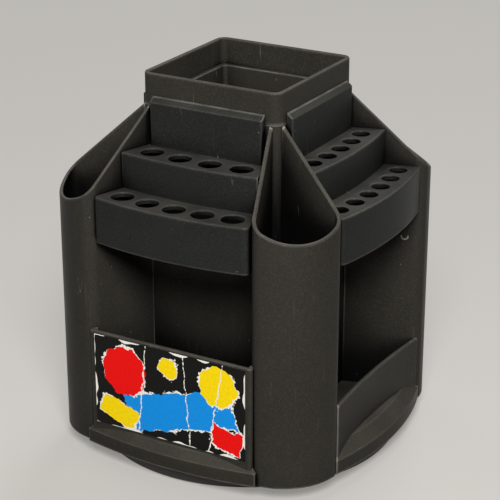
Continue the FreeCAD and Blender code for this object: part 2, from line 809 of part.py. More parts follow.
def make_rack(side, turn):
    """A stepped rack: a hollow moulding with two rows of holes that hooks on the tower."""
    body = new_body("rack_" + side, turn)
    wall = S["wall"]
    upper_ends = tower_half + S["upper_depth"]
    lower_ends = upper_ends + S["lower_tread"]
    upper_bow = S["upper_bow"]
    lower_bow = S["lower_bow"]
    panel_back = tower_half + S["fit"]
    panel_front = panel_back + S["panel_thickness"]
    pad(body, step_outline(lower_ends, lower_bow, as_size(0)), rack_bottom, lower_level)
    deepest = -(lower_ends - S["rack_corner"]).number
    soften(body, "Fillet", S["rack_corner"], lambda edge: is_upright(edge) and edge.BoundBox.YMax < deepest)
    soften(body, "Fillet", S["edge_round"], lambda edge: lies_at(edge, lower_level)
           and edge.BoundBox.YMin < deepest)
    pad(body, step_outline(upper_ends, upper_bow, as_size(0)), lower_level - wall, upper_level)
    front = -upper_ends.number
    soften(body, "Fillet", S["edge_round"], lambda edge: lies_at(edge, upper_level)
           and edge.BoundBox.YMin < front - S["upper_bow"].number / 2)
    sketch = new_sketch(body, "YZ_Plane")
    draw(sketch, [
        (-panel_front, upper_level - wall),
        (-panel_back, upper_level - wall),
        (-panel_back, lip_top),
        (-panel_front, lip_top - S["lip_fall"]),
    ])
    panel_half = fin_half_width(panel_back, S["rack_gap"]) - S["panel_inset"]
    extrude(body, "Pad", sketch, 2 * panel_half, both=True)
    soften(body, "Fillet", S["edge_round"], lambda edge: is_upright(edge)
           and edge.BoundBox.ZMax > upper_level.number and edge.BoundBox.YMax < -panel_back.number)
    pocket(body, step_outline(lower_ends, lower_bow, wall), rack_bottom, lower_level - wall)
    pocket(body, step_outline(upper_ends, upper_bow, wall), lower_level - wall, upper_level - wall)
    kind = "wide" if side in WIDE_HOLE_SIDES else "slim"
    radius = S[kind + "_hole"] / 2
    upper_middle = (panel_front + upper_ends + upper_bow) / 2
    lower_middle = (upper_ends + upper_bow + lower_ends + lower_bow) / 2
    upper = hole_places(S[kind + "_upper_pitch"], upper_middle, upper_ends, upper_bow)
    lower = hole_places(S[kind + "_lower_pitch"], lower_middle, lower_ends, lower_bow)
    drill(body, upper, radius, upper_level - 2 * wall, upper_level)
    drill(body, lower, radius, lower_level - 2 * wall, lower_level)
    soften(body, "Fillet", S["hole_round"], lambda edge: isinstance(edge.Curve, Part.Circle)
           and abs(edge.Curve.Radius - radius.number) < NEAR
           and (lies_at(edge, upper_level) or lies_at(edge, lower_level)))
    for way in (-1, 1):
        make_hook(body, way * S["hook_offset"] - S["hook_width"] / 2)


def make_hook(body, start):
    """A hook on the rack's back that drops through a slot of the tower."""
    outside = -(tower_half + S["fit"] + S["wall"] / 2)
    inside = -(tower_half - S["wall"] - S["fit"])
    tip = inside + S["hook_lip"]
    sketch = new_sketch(body, "YZ_Plane", start)
    draw(sketch, [
        (outside, hook_level),
        (inside, hook_level),
        (inside, hook_level - S["hook_height"]),
        (tip, hook_level - S["hook_height"]),
        (tip, hook_level + S["hook_height"]),
        (outside, hook_level + S["hook_height"]),
    ])
    extrude(body, "Pad", sketch, S["hook_width"])


def sub_parts():
    """The finished pieces: every body, the two groups and the sticker."""
    pieces = [item for item in doc.Objects if item.TypeId == "PartDesign::Body"]
    return pieces + [doc.getObject(name) for name in ("bearing_balls", "deck_screws", "label")]


def write_parts():
    """Make sure that everything came out whole, then write each piece to its own file."""
    doc.recompute()
    for item in doc.Objects:
        assert "Invalid" not in item.State and "Error" not in item.State, item.Label + " failed"
    for piece in sub_parts():
        assert not piece.Shape.isNull() and piece.Shape.isValid(), piece.Label + " has no sound shape"
        whole = piece.TypeId != "PartDesign::Body" or len(piece.Shape.Solids) == 1
        assert whole, piece.Label + " is in pieces"
    os.makedirs("parts", exist_ok=True)
    for piece in sub_parts():
        piece.Shape.exportStep("parts/" + piece.Label + ".step")


make_base()
make_feet()
make_ball_ring()
make_deck()
make_screws()
make_pivot()
make_tower()
make_tray()
for corner, turn in CORNERS.items():
    make_pocket(corner, turn)
for side, turn in SIDES.items():
    make_bin(side, turn)
    make_rack(side, turn)
make_label()
write_parts()
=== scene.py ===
"""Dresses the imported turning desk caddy: moulded finishes, sticker, moulding marks and stage."""
import math
from functools import partial

import bmesh
import bpy
from bpy.props import FloatProperty, FloatVectorProperty, PointerProperty
from mathutils import Matrix, Vector


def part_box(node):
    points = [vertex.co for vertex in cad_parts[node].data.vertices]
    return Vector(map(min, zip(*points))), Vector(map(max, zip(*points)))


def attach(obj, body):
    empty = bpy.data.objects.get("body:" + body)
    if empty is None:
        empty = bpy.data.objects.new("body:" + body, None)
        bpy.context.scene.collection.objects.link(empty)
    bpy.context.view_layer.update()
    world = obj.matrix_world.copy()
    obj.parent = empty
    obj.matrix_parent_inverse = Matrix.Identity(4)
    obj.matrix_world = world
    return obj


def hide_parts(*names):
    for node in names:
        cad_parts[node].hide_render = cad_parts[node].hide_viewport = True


bl_info = {
    "name": "Turning Desk Caddy",
    "version": (1, 0, 0),
    "blender": (4, 5, 0),
    "location": "View3D > Sidebar > Caddy",
    "description": "Finishes, sticker, moulding marks and stage for a turning desk caddy",
    "category": "Object",
}

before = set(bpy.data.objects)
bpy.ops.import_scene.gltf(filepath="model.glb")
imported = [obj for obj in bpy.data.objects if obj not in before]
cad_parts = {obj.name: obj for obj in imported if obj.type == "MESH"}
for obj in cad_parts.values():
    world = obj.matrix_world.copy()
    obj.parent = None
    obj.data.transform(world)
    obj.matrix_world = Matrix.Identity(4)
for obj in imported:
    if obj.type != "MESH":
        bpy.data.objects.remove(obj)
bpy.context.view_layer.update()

MM = 0.001
ORIGIN = (0.0, 0.0, 0.0)
UP = (0.0, 0.0, 1.0)

SIDES = ("front", "right", "back", "left")
CORNERS = ("front_right", "back_right", "back_left", "front_left")
BODY_MOULDINGS = (
    ["tower", "top_tray"]
    + ["pocket_" + corner for corner in CORNERS]
    + ["bin_" + side for side in SIDES]
)
RACK_MOULDINGS = ["rack_" + side for side in SIDES]
FEET = ["foot_pad_%d" % number for number in range(1, 5)]

# Refractive indices of the plastics and the rubber
POLYSTYRENE_IOR = 1.53
ACETAL_IOR = 1.48
RUBBER_IOR = 1.52

# Most values of a noise lie in this range, so a ramp over it runs from end to end
NOISE_RANGE = {"From Min": 0.3, "From Max": 0.7}
# How far a moulding's roughness varies to both sides, and how much smoother a rubbed edge is
BLUR_SPREAD = 0.05
RUBBED_SMOOTH = 0.14
# Polystyrene's darker patches and the crests of its grain, as factors of its colour
DARK_PATCH = 0.82
PALE_CREST = 2.2
# Depth of polystyrene's grain in metres, and the turn of its hairlines in radians
GRAIN_DEPTH = 0.06 * MM
HAIRLINE_TURN = (0.5, 0.6, 0.3)
# Rays of a Bevel or Ambient Occlusion node
RAYS = 8
# Sockets of a Mix node for colours: the share of the upper colour, both colours, and the result
COVER, LOWER, UPPER, MIXED = 0, 6, 7, 2


def linear(tone):
    """An sRGB hex value as linear RGBA."""
    parts = [int(tone[place:place + 2], 16) / 255 for place in (1, 3, 5)]
    return tuple(((c + 0.055) / 1.055) ** 2.4 if c > 0.04045 else c / 12.92 for c in parts) + (1.0,)


def colour(name, description, tone):
    """A setting for a colour, given as an sRGB hex value."""
    return FloatVectorProperty(name=name, description=description, default=linear(tone), size=4,
                               min=0.0, max=1.0, subtype="COLOR")


def length(name, description, millimetres):
    """A setting for a length, given in millimetres."""
    return FloatProperty(name=name, description=description, default=millimetres * MM, min=0.0, unit="LENGTH")


def angle(name, description, degrees):
    """A setting for an angle, given in degrees."""
    return FloatProperty(name=name, description=description, default=math.radians(degrees), subtype="ANGLE")


def power(name, description, watts):
    """A setting for a lamp's power, given in watts."""
    return FloatProperty(name=name, description=description, default=watts, min=0.0, unit="POWER")


def share(name, description, part):
    """A setting that runs from 0 for nothing to 1 for all."""
    return FloatProperty(name=name, description=description, default=part, min=0.0, max=1.0, subtype="FACTOR")


class FinishSettings(bpy.types.PropertyGroup):
    """Colours, painted shade and highlights, sheen, wear and grain of the caddy's materials."""

    body: colour("Body", "Tower, tray, pockets and bins", "#2f2d28")
    rack: colour("Racks", "Hole racks", "#232422")
    base: colour("Base", "Base and deck", "#232221")
    # Painted shade: this dark colour covers the body and racks where the Ambient Occlusion finds walls close
    # by
    recess: colour("Recess", "Deep recesses that are never handled", "#060606")
    # Pale colour of rubbed edges: real wear, and also a painted highlight on rims, corners and the moulding
    # marks
    worn: colour("Worn edge", "Rubbed edges of the mouldings", "#85827a")
    dust: colour("Dust", "Settled dust, specks and hairlines", "#8d877d")
    natural: colour("Natural plastic", "Unpigmented bush and ball cage", "#ddd8cc")
    plated: colour("Plated steel", "Screws and washer", "#b9b8b2")
    polished: colour("Polished steel", "Bearing balls", "#cfcfd2")
    rubber: colour("Rubber", "Feet", "#1d1d1d")
    sheen: share("Sheen", "How strongly the grained plastic reflects", 0.05)
    body_blur: share("Body blur", "Roughness of the body's sheen", 0.42)
    rack_blur: share("Rack blur", "Roughness of the racks' sheen", 0.38)
    body_wear: share("Body wear", "How far the body's edges are rubbed", 1.0)
    rack_wear: share("Rack wear", "How far the racks' edges are rubbed", 0.6)
    grain: length("Grain", "Spacing of the moulded texture", 0.55)
    edge: length("Edge", "Rounding of the body's edges", 0.45)
    rack_edge: length("Rack edge", "Rounding of the racks' edges", 1.3)
    recess_depth: length("Recess depth", "How far a wall across a recess is felt", 45.0)
    patch: length("Patch", "Size of cloudy patches", 26.0)
    speck: length("Speck spacing", "Distance between pale specks", 7.0)


class StickerSettings(bpy.types.PropertyGroup):
    """Colours and wear of the sticker."""

    ground: colour("Ground", "Printed ground", "#080807")
    paper: colour("Paper", "Bare paper", "#efece2")
    yellow: colour("Yellow", "Yellow patches", "#ffdc0c")
    blue: colour("Blue", "Blue patches", "#1490e4")
    red: colour("Red", "Red patches", "#f0120f")
    varnish: share("Varnish", "How strongly the print reflects", 0.15)
    tear: length("Tear", "Waviness of a torn edge", 5.0)
    torn_edge: length("Torn edge", "Most bare paper beside a patch", 1.6)
    crease: length("Crease", "Width of a cracked crease, to each side", 0.35)
    rubbed: length("Rubbed border", "Most bare paper along the sticker's edge", 1.44)


class MarkSettings(bpy.types.PropertyGroup):
    """Place and size of the moulding marks on the pockets."""

    depth: length("Depth", "Axis to a mark, measured toward its bay's open side", 56.85)
    height: length("Height", "Floor to a mark", 85.0)
    radius: length("Radius", "Mark's rim", 1.55)
    rise: length("Rise", "Rim above the fin, halfway up the mark", 0.07)
    foot: length("Foot", "Rim's foot below the fin's face", 0.45)
    slant: angle("Slant", "Tilt of the rim, which sinks its upper half in the fin", 12.0)
    blur: share("Blur", "Roughness of the mark's sheen", 0.45)


class StageSettings(bpy.types.PropertyGroup):
    """Camera, floor and light of the picture."""

    azimuth: angle("Azimuth", "Camera round the axis", 29.79)
    elevation: angle("Elevation", "Camera above the horizon", 22.07)
    distance: length("Distance", "Camera to the aim point", 743.74)
    aim_height: length("Aim height", "Aim point above the floor", 79.41)
    aim_side: length("Aim side", "Aim point right of the axis", 0.61)
    lens: FloatProperty(name="Lens", description="Focal length in mm on a 36 mm sensor", default=125.03,
                        unit="CAMERA")
    floor: colour("Floor", "Pale floor", "#8f8d89")
    floor_size: length("Floor size", "Half the floor's width", 6000.0)
    glow: share("Glow", "How pale the unlit floor looks", 0.95)
    bounce: share("Bounce", "How much of its colour the floor throws on the caddy", 0.25)
    key: power("Key", "Soft lamp beside the camera", 17.0)
    top: power("Top", "Soft lamp overhead", 1.0)
    left: power("Left", "Lamp behind on the left", 6.0)
    back: power("Back", "High lamp behind, for the far side", 20.0)
    sky: share("Sky", "Strength of the even light from all round", 0.08)


def add_node(material, kind, inputs=None, out=0, **settings):
    """Add a node with its settings, set or link its inputs, and give back one of its outputs."""
    tree = material.node_tree
    node = tree.nodes.new(kind)
    for name, value in settings.items():
        setattr(node, name, value)
    for name, value in (inputs or {}).items():
        if isinstance(value, bpy.types.NodeSocket):
            tree.links.new(value, node.inputs[name])
        else:
            node.inputs[name].default_value = value
    return node.outputs[out] if node.outputs else None


def new_material(name):
    """A material whose node tree is still empty."""
    material = bpy.data.materials.new(name)
    material.use_nodes = True
    material.node_tree.nodes.clear()
    return material


def finish_surface(material, inputs):
    """Close a material with a shader that has these inputs."""
    shader = add_node(material, "ShaderNodeBsdfPrincipled", inputs)
    add_node(material, "ShaderNodeOutputMaterial", {"Surface": shader})
    return material


def toned(tone, factor):
    """A colour made darker or paler."""
    return tuple(factor * part for part in tone[:3]) + (1.0,)


def rubbed_edges_and_painted_highlights(add, look, streaks, open_air, wear):
    """How far the plastic is rubbed paler, as wear and as a painted highlight: along edges, in streaks, and
    only where hands reach.
    """
    backed = add("ShaderNodeAmbientOcclusion", {"Distance": 2 * look.edge}, out="AO", samples=RAYS,
                 inside=True, only_local=True)
    on_edge = add("ShaderNodeMapRange", {"Value": backed, "From Min": 0.92, "From Max": 0.55})
    handled = add("ShaderNodeMapRange", {"Value": streaks, "From Min": 0.30, "From Max": 0.68,
                                         "To Min": 0.4 * wear, "To Max": 0.9 * wear})
    reached = add("ShaderNodeMapRange", {"Value": open_air, "From Min": 0.38, "From Max": 0.7})
    handled = add("ShaderNodeMath", {0: handled, 1: reached}, operation="MULTIPLY")
    return add("ShaderNodeMath", {0: on_edge, 1: handled}, operation="MULTIPLY")


def settled_dust(add, patches):
    """How much dust lies on what faces up."""
    normal = add("ShaderNodeNewGeometry", out="Normal")
    up = add("ShaderNodeSeparateXYZ", {0: normal}, out="Z")
    level = add("ShaderNodeMapRange", {"Value": up, "From Min": 0.55, "From Max": 0.98})
    settled = add("ShaderNodeMapRange", {"Value": patches, "From Min": 0.35, "From Max": 0.75,
                                         "To Min": 0.04, "To Max": 0.16})
    return add("ShaderNodeMath", {0: level, 1: settled}, operation="MULTIPLY")


def specks_and_hairlines(add, look, place, patches, streaks):
    """How strongly pale specks and hairline scratches show, each in some places only."""
    from_speck = add("ShaderNodeTexVoronoi", {"Vector": place, "Scale": 1 / look.speck}, out="Distance")
    specks = add("ShaderNodeMapRange", {"Value": from_speck, "From Min": 0.045, "From Max": 0.035,
                                        "To Max": 0.4})
    speckled = add("ShaderNodeMath", {0: patches, 1: 0.55}, operation="GREATER_THAN")
    specks = add("ShaderNodeMath", {0: specks, 1: speckled}, operation="MULTIPLY")
    swept = add("ShaderNodeMapping", {"Vector": place, "Rotation": HAIRLINE_TURN, "Scale": (1.0, 1.0, 0.06)})
    lines = add("ShaderNodeTexNoise", {"Vector": swept, "Scale": 6 / look.patch, "Detail": 0.0})
    hairline = add("ShaderNodeMath", {0: lines, 1: 0.6, 2: 0.004}, operation="COMPARE")
    scuffed = add("ShaderNodeMapRange", {"Value": streaks, "From Min": 0.60, "From Max": 0.70,
                                         "To Max": 0.3})
    scratches = add("ShaderNodeMath", {0: hairline, 1: scuffed}, operation="MULTIPLY")
    return add("ShaderNodeMath", {0: specks, 1: scratches}, operation="MAXIMUM")


def moulded_polystyrene(name, tone, roughness, rounding, wear):
    """Injection-moulded polystyrene from a spark-eroded tool.

    The tool's fine grain breaks up the sheen, which is why so little of the floor shows in it.
    Handled edges are rubbed paler and smoother, which is also a painted highlight on rims and corners,
    recesses get painted shade, dust settles on what faces up, and a few hairlines and pale specks show.
    The grain of the real tool is too fine to show, so it is drawn about four times as coarse.
    """
    look = bpy.context.scene.caddy_finish
    material = new_material(name)
    add = partial(add_node, material)
    place = add("ShaderNodeTexCoord", out="Object")
    grain = add("ShaderNodeTexNoise", {"Vector": place, "Scale": 1 / look.grain, "Detail": 2.0})
    patches = add("ShaderNodeTexNoise", {"Vector": place, "Scale": 1 / look.patch, "Detail": 3.0})
    drawn_out = add("ShaderNodeMapping", {"Vector": place, "Scale": (1.0, 1.0, 0.4)})
    streaks = add("ShaderNodeTexNoise", {"Vector": drawn_out, "Scale": 4 / look.patch, "Detail": 2.0})
    open_air = add("ShaderNodeAmbientOcclusion", {"Distance": look.recess_depth}, out="AO", samples=RAYS)

    mottled = add("ShaderNodeMapRange", {"Value": patches, **NOISE_RANGE})
    crests = add("ShaderNodeMapRange", {"Value": grain, "From Min": 0.46, "From Max": 0.74, "To Max": 0.5})
    # Painted shade: the recess colour covers what the Ambient Occlusion finds closed in by near walls
    painted_recess_shade = add("ShaderNodeMapRange", {"Value": open_air, "From Min": 0.58, "From Max": 0.36})
    dusty = settled_dust(add, patches)
    # Rubbed edges: real wear, and also a painted highlight along rims, hole edges and corners
    rubbed = rubbed_edges_and_painted_highlights(add, look, streaks, open_air, wear)
    marked = specks_and_hairlines(add, look, place, patches, streaks)
    layers = (
        (mottled, tone),
        (crests, toned(tone, PALE_CREST)),
        # painted shade in the recesses
        (painted_recess_shade, look.recess),
        (dusty, look.dust),
        # wear and painted highlight on the edges
        (rubbed, look.worn),
        (marked, look.dust),
    )
    shade = toned(tone, DARK_PATCH)
    for cover, coat in layers:
        shade = add("ShaderNodeMix", {COVER: cover, LOWER: shade, UPPER: coat}, out=MIXED, data_type="RGBA")

    uneven = add("ShaderNodeMapRange", {"Value": patches, **NOISE_RANGE, "To Min": roughness - BLUR_SPREAD,
                                        "To Max": roughness + BLUR_SPREAD})
    rounded = add("ShaderNodeBevel", {"Radius": rounding}, samples=RAYS)
    return finish_surface(material, {
        "Base Color": shade,
        "Roughness": add("ShaderNodeMath", {0: rubbed, 1: -RUBBED_SMOOTH, 2: uneven},
                         operation="MULTIPLY_ADD"),
        "IOR": POLYSTYRENE_IOR,
        "Specular IOR Level": look.sheen,
        "Normal": add("ShaderNodeBump", {"Strength": 0.25, "Distance": GRAIN_DEPTH, "Height": grain,
                                         "Normal": rounded}),
    })


def plain_moulding(name, tone, roughness, ior):
    """A moulded or vulcanised surface that is mostly hidden: fine grain and faint cloudy patches."""
    look = bpy.context.scene.caddy_finish
    material = new_material(name)
    add = partial(add_node, material)
    place = add("ShaderNodeTexCoord", out="Object")
    patches = add("ShaderNodeTexNoise", {"Vector": place, "Scale": 2 / look.patch, "Detail": 3.0})
    grain = add("ShaderNodeTexNoise", {"Vector": place, "Scale": 1 / look.grain, "Detail": 2.0})
    mottled = add("ShaderNodeMapRange", {"Value": patches, **NOISE_RANGE})
    return finish_surface(material, {
        "Base Color": add("ShaderNodeMix", {COVER: mottled, LOWER: toned(tone, 0.75), UPPER: tone},
                          out=MIXED, data_type="RGBA"),
        "Roughness": add("ShaderNodeMapRange", {"Value": patches, **NOISE_RANGE,
                                                "To Min": roughness - BLUR_SPREAD,
                                                "To Max": roughness + BLUR_SPREAD}),
        "IOR": ior,
        "Normal": add("ShaderNodeBump", {"Strength": 0.2, "Distance": 0.05 * MM, "Height": grain}),
    })


def bright_steel(name, tone, roughness):
    """Turned steel, plated or polished: mirror-like, with fine marks that run round it."""
    material = new_material(name)
    add = partial(add_node, material)
    place = add("ShaderNodeTexCoord", out="Object")
    turned = add("ShaderNodeMapping", {"Vector": place, "Scale": (1.0, 1.0, 4.0)})
    marks = add("ShaderNodeTexNoise", {"Vector": turned, "Scale": 1 / (0.4 * MM), "Detail": 2.0})
    tint = add("ShaderNodeMapRange", {"Value": marks, **NOISE_RANGE})
    return finish_surface(material, {
        "Base Color": add("ShaderNodeMix", {COVER: tint, LOWER: toned(tone, 0.85), UPPER: tone},
                          out=MIXED, data_type="RGBA"),
        "Metallic": 1.0,
        "Roughness": add("ShaderNodeMapRange", {"Value": marks, **NOISE_RANGE, "To Min": roughness - 0.04,
                                                "To Max": roughness + 0.06}),
    })


def dress(nodes, material):
    """Give CAD nodes a finish."""
    for node in nodes:
        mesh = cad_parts[node].data
        mesh.materials.clear()
        mesh.materials.append(material)


def new_piece(context, name, shape, material):
    """Make a finished mesh a piece that turns with the carousel."""
    mesh = bpy.data.meshes.new(name)
    shape.to_mesh(mesh)
    shape.free()
    mesh.materials.append(material)
    piece = bpy.data.objects.new(name, mesh)
    context.scene.collection.objects.link(piece)
    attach(piece, "carousel")
    return piece


class CADDY_OT_body_finish(bpy.types.Operator):
    """Finish the tower, tray, pockets and bins in moulded polystyrene"""

    bl_idname = "caddy.body_finish"
    bl_label = "Finish Body"

    def execute(self, context):
        look = context.scene.caddy_finish
        plastic = moulded_polystyrene("moulded_polystyrene_body", look.body, look.body_blur, look.edge,
                                      look.body_wear)
        dress(BODY_MOULDINGS, plastic)
        return {"FINISHED"}


class CADDY_OT_rack_finish(bpy.types.Operator):
    """Finish the hole racks in moulded polystyrene"""

    bl_idname = "caddy.rack_finish"
    bl_label = "Finish Racks"

    def execute(self, context):
        look = context.scene.caddy_finish
        plastic = moulded_polystyrene("moulded_polystyrene_racks", look.rack, look.rack_blur, look.rack_edge,
                                      look.rack_wear)
        dress(RACK_MOULDINGS, plastic)
        return {"FINISHED"}


class CADDY_OT_base_finish(bpy.types.Operator):
    """Finish the base, the deck and the feet"""

    bl_idname = "caddy.base_finish"
    bl_label = "Finish Base"

    def execute(self, context):
        look = context.scene.caddy_finish
        plastic = plain_moulding("moulded_polystyrene_base", look.base, roughness=0.5, ior=POLYSTYRENE_IOR)
        dress(["turntable_base", "deck"], plastic)
        dress(FEET, plain_moulding("vulcanised_rubber", look.rubber, roughness=0.8, ior=RUBBER_IOR))
        return {"FINISHED"}


class CADDY_OT_bearing_finish(bpy.types.Operator):
    """Finish the ball ring, the pivot and the screws"""

    bl_idname = "caddy.bearing_finish"
    bl_label = "Finish Bearing"

    def execute(self, context):
        look = context.scene.caddy_finish
        acetal = plain_moulding("moulded_acetal", look.natural, roughness=0.4, ior=ACETAL_IOR)
        plated = bright_steel("zinc_plated_steel", look.plated, roughness=0.32)
        dress(["ball_cage", "pivot_bush"], acetal)
        dress(["bearing_balls"], bright_steel("polished_steel", look.polished, roughness=0.12))
        dress(["pivot_washer", "pivot_screw", "deck_screws"], plated)
        return {"FINISHED"}


# A moulding mark's rim in section: out from its middle as shares of its radius, up as shares of its rise
MARK_RIM = ((0.72, 0.1), (0.84, 1.0), (1.0, 0.95), (1.12, 0.4))
# Inner and outer side of the rim's foot in the fin, as shares of the radius
MARK_FOOT = (0.7, 1.4)
MARK_SEGMENTS = 40


class CADDY_OT_moulding_marks(bpy.types.Operator):
    """Raise the lower rim of a gate mark on one fin of each pocket, coloured pale as a painted highlight"""

    bl_idname = "caddy.moulding_marks"
    bl_label = "Make Moulding Marks"

    def execute(self, context):
        look = context.scene.caddy_finish
        mark = context.scene.caddy_marks
        start = Vector((mark.depth, 0.0, mark.height))
        toward_fin = Vector((0.0, 1.0, 0.0))
        found, spot, outward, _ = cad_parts["pocket_back_right"].ray_cast(start, toward_fin)
        if not found:
            raise RuntimeError("no fin was found for the moulding mark")
        shape = self.make_rim(mark)
        on_fin = Matrix.Translation(spot) @ outward.to_track_quat("Z", "Y").to_matrix().to_4x4()
        bmesh.ops.transform(shape, matrix=on_fin, verts=shape.verts)
        copies = len(CORNERS) - 1
        bmesh.ops.spin(shape, geom=shape.verts[:] + shape.edges[:] + shape.faces[:], cent=ORIGIN, axis=UP,
                       angle=2 * math.pi * copies / len(CORNERS), steps=copies, use_duplicate=True)
        for face in shape.faces:
            face.smooth = True
        # The mark takes the pale worn colour as a painted highlight on its lower rim
        material = moulded_polystyrene("moulded_polystyrene_mark", look.worn, mark.blur, look.edge,
                                       look.body_wear)
        new_piece(context, "moulding_marks", shape, material)
        return {"FINISHED"}

    def make_rim(self, mark):
        """One mark's slanting rim, lying on the floor's plane with its middle at the origin."""
        inner, outer = MARK_FOOT
        crest = [(out, up * mark.rise) for out, up in MARK_RIM]
        section = [(inner, -mark.foot), *crest, (outer, -mark.foot)]
        shape = bmesh.new()
        points = [shape.verts.new((out * mark.radius, 0.0, up)) for out, up in section]
        sides = [shape.edges.new(pair) for pair in zip(points, points[1:] + points[:1])]
        bmesh.ops.spin(shape, geom=points + sides, cent=ORIGIN, axis=UP, angle=2 * math.pi,
                       steps=MARK_SEGMENTS, use_merge=True)
        bmesh.ops.recalc_face_normals(shape, faces=shape.faces)
        slant = Matrix.Rotation(-mark.slant, 3, "X")
        bmesh.ops.rotate(shape, cent=ORIGIN, matrix=slant, verts=shape.verts)
        return shape


# Torn patches on the sticker, in mm from its lower left corner:
# kind, middle, half size, turn in degrees and colour
STICKER_PATCHES = (
    ("strip", (41.0, 14.5), (26.0, 8.2), 15.0, "blue"),
    ("disc", (14.5, 26.5), (10.6, 10.6), 0.0, "red"),
    ("disc", (59.0, 30.0), (8.6, 8.6), 0.0, "yellow"),
    ("strip", (11.5, 7.4), (8.6, 4.6), -22.0, "yellow"),
    ("strip", (63.0, 7.6), (6.8, 4.6), -12.0, "red"),
    ("disc", (35.5, 33.0), (4.4, 4.4), 0.0, "yellow"),
)
# Cracked creases: where each starts on the lower edge and how far it leans by the upper edge, in mm
STICKER_CREASES = ((21.0, 4.0), (46.0, -3.5), (54.5, 7.0))
# Sizes of the sticker's wear in mm: waves and frays of a torn edge, patches of wear, sway of a crease
TORN_WAVE = 4.5
TORN_FRAY = 1.1
WORN_PATCH = 11.25
CREASE_SWAY = 3.0
# Cells of the sticker's mesh, across and up
STICKER_CELLS = (48, 28)


def patch_edge(add, place, kind, middle, half, turn):
    """Distance in mm from a patch's edge before it is torn, below zero inside the patch."""
    moved = add("ShaderNodeMapping", {
        "Vector": place,
        "Location": (*middle, 0.0),
        "Rotation": (0.0, 0.0, math.radians(turn)),
    }, vector_type="TEXTURE")
    if kind == "disc":
        reach = add("ShaderNodeVectorMath", {0: moved}, out="Value", operation="LENGTH")
        return add("ShaderNodeMath", {0: reach, 1: half[0]}, operation="SUBTRACT")
    apart = add("ShaderNodeVectorMath", {0: moved}, operation="ABSOLUTE")
    apart = add("ShaderNodeVectorMath", {0: apart, 1: (*half, 0.0)}, operation="SUBTRACT")
    sides = add("ShaderNodeSeparateXYZ", {0: apart}).node.outputs
    return add("ShaderNodeMath", {0: sides["X"], 1: sides["Y"]}, operation="MAXIMUM")


def cracks_and_rubbed_border(add, look, place, size, sway, ragged, patchy):
    """1 where the print is cracked along a crease or rubbed off at the border, and 0 elsewhere."""
    across = add("ShaderNodeSeparateXYZ", {0: place}).node.outputs
    crack = add("ShaderNodeMapRange", {"Value": ragged, "From Min": 0.36, "From Max": 0.6,
                                       "To Max": look.crease / MM})
    worn = 0.0
    for start, lean in STICKER_CREASES:
        line = add("ShaderNodeMath", {0: across["Y"], 1: lean / size[1], 2: start}, operation="MULTIPLY_ADD")
        line = add("ShaderNodeMath", {0: sway, 1: CREASE_SWAY, 2: line}, operation="MULTIPLY_ADD")
        cracked = add("ShaderNodeMath", {0: across["X"], 1: line, 2: crack}, operation="COMPARE")
        worn = add("ShaderNodeMath", {0: cracked, 1: worn}, operation="MAXIMUM")
    border = add("ShaderNodeMapRange", {"Value": patchy, "From Min": 0.45, "From Max": 0.66,
                                        "To Min": -0.1, "To Max": look.rubbed / MM})
    for axis, span in zip("XY", size):
        other_side = add("ShaderNodeMath", {0: span, 1: across[axis]}, operation="SUBTRACT")
        inside = add("ShaderNodeMath", {0: across[axis], 1: other_side}, operation="MINIMUM")
        bare = add("ShaderNodeMath", {0: inside, 1: border}, operation="LESS_THAN")
        worn = add("ShaderNodeMath", {0: bare, 1: worn}, operation="MAXIMUM")
    return worn


def printed_paper(name, width, height):
    """Paper sticker printed in flat colours and varnished.

    Torn coloured patches with bare edges lie on a black ground, which is cracked along creases
    and rubbed to bare paper at its border. Ink has a soft sheen, and bare paper has none.
    """
    look = bpy.context.scene.caddy_sticker
    material = new_material(name)
    add = partial(add_node, material)
    size = (width / MM, height / MM)
    flat = add("ShaderNodeUVMap", uv_map="sticker")
    place = add("ShaderNodeMapping", {"Vector": flat, "Scale": (*size, 1.0)})
    wave = add("ShaderNodeTexNoise", {"Vector": place, "Scale": 1 / TORN_WAVE, "Detail": 4.0})
    sway = add("ShaderNodeMath", {0: wave, 1: 0.5}, operation="SUBTRACT")
    ragged = add("ShaderNodeTexNoise", {"Vector": place, "Scale": 1 / TORN_FRAY, "Detail": 3.0})
    patchy = add("ShaderNodeTexNoise", {"Vector": place, "Scale": 1 / WORN_PATCH, "Detail": 1.0})

    fray = add("ShaderNodeMapRange", {"Value": ragged, "From Min": 0.35, "From Max": 0.65,
                                      "To Min": 0.3, "To Max": look.torn_edge / MM})
    torn_here = add("ShaderNodeMapRange", {"Value": patchy, "From Min": 0.42, "From Max": 0.6})
    fray = add("ShaderNodeMath", {0: fray, 1: torn_here}, operation="MULTIPLY")
    blotch = add("ShaderNodeMapRange", {"Value": ragged, **NOISE_RANGE})
    layers = []
    for kind, middle, half, turn, tone in STICKER_PATCHES:
        away = patch_edge(add, place, kind, middle, half, turn)
        away = add("ShaderNodeMath", {0: sway, 1: look.tear / MM, 2: away}, operation="MULTIPLY_ADD")
        bare = add("ShaderNodeMath", {0: away, 1: fray}, operation="LESS_THAN")
        inked = add("ShaderNodeMath", {0: away, 1: 0.0}, operation="LESS_THAN")
        ink = getattr(look, tone)
        blotched = add("ShaderNodeMix", {COVER: blotch, LOWER: ink, UPPER: toned(ink, 0.88)}, out=MIXED,
                       data_type="RGBA")
        layers += [(bare, look.paper), (inked, blotched)]
    worn = cracks_and_rubbed_border(add, look, place, size, sway, ragged, patchy)
    layers.append((worn, look.paper))
    shade = look.ground
    for cover, coat in layers:
        shade = add("ShaderNodeMix", {COVER: cover, LOWER: shade, UPPER: coat}, out=MIXED, data_type="RGBA")
    relief = add("ShaderNodeMath", {0: ragged, 1: worn}, operation="SUBTRACT")
    return finish_surface(material, {
        "Base Color": shade,
        "Roughness": add("ShaderNodeMapRange", {"Value": worn, "To Min": 0.42, "To Max": 0.8}),
        "Specular IOR Level": look.varnish,
        "Normal": add("ShaderNodeBump", {"Strength": 0.5, "Distance": 0.08 * MM, "Height": relief}),
    })


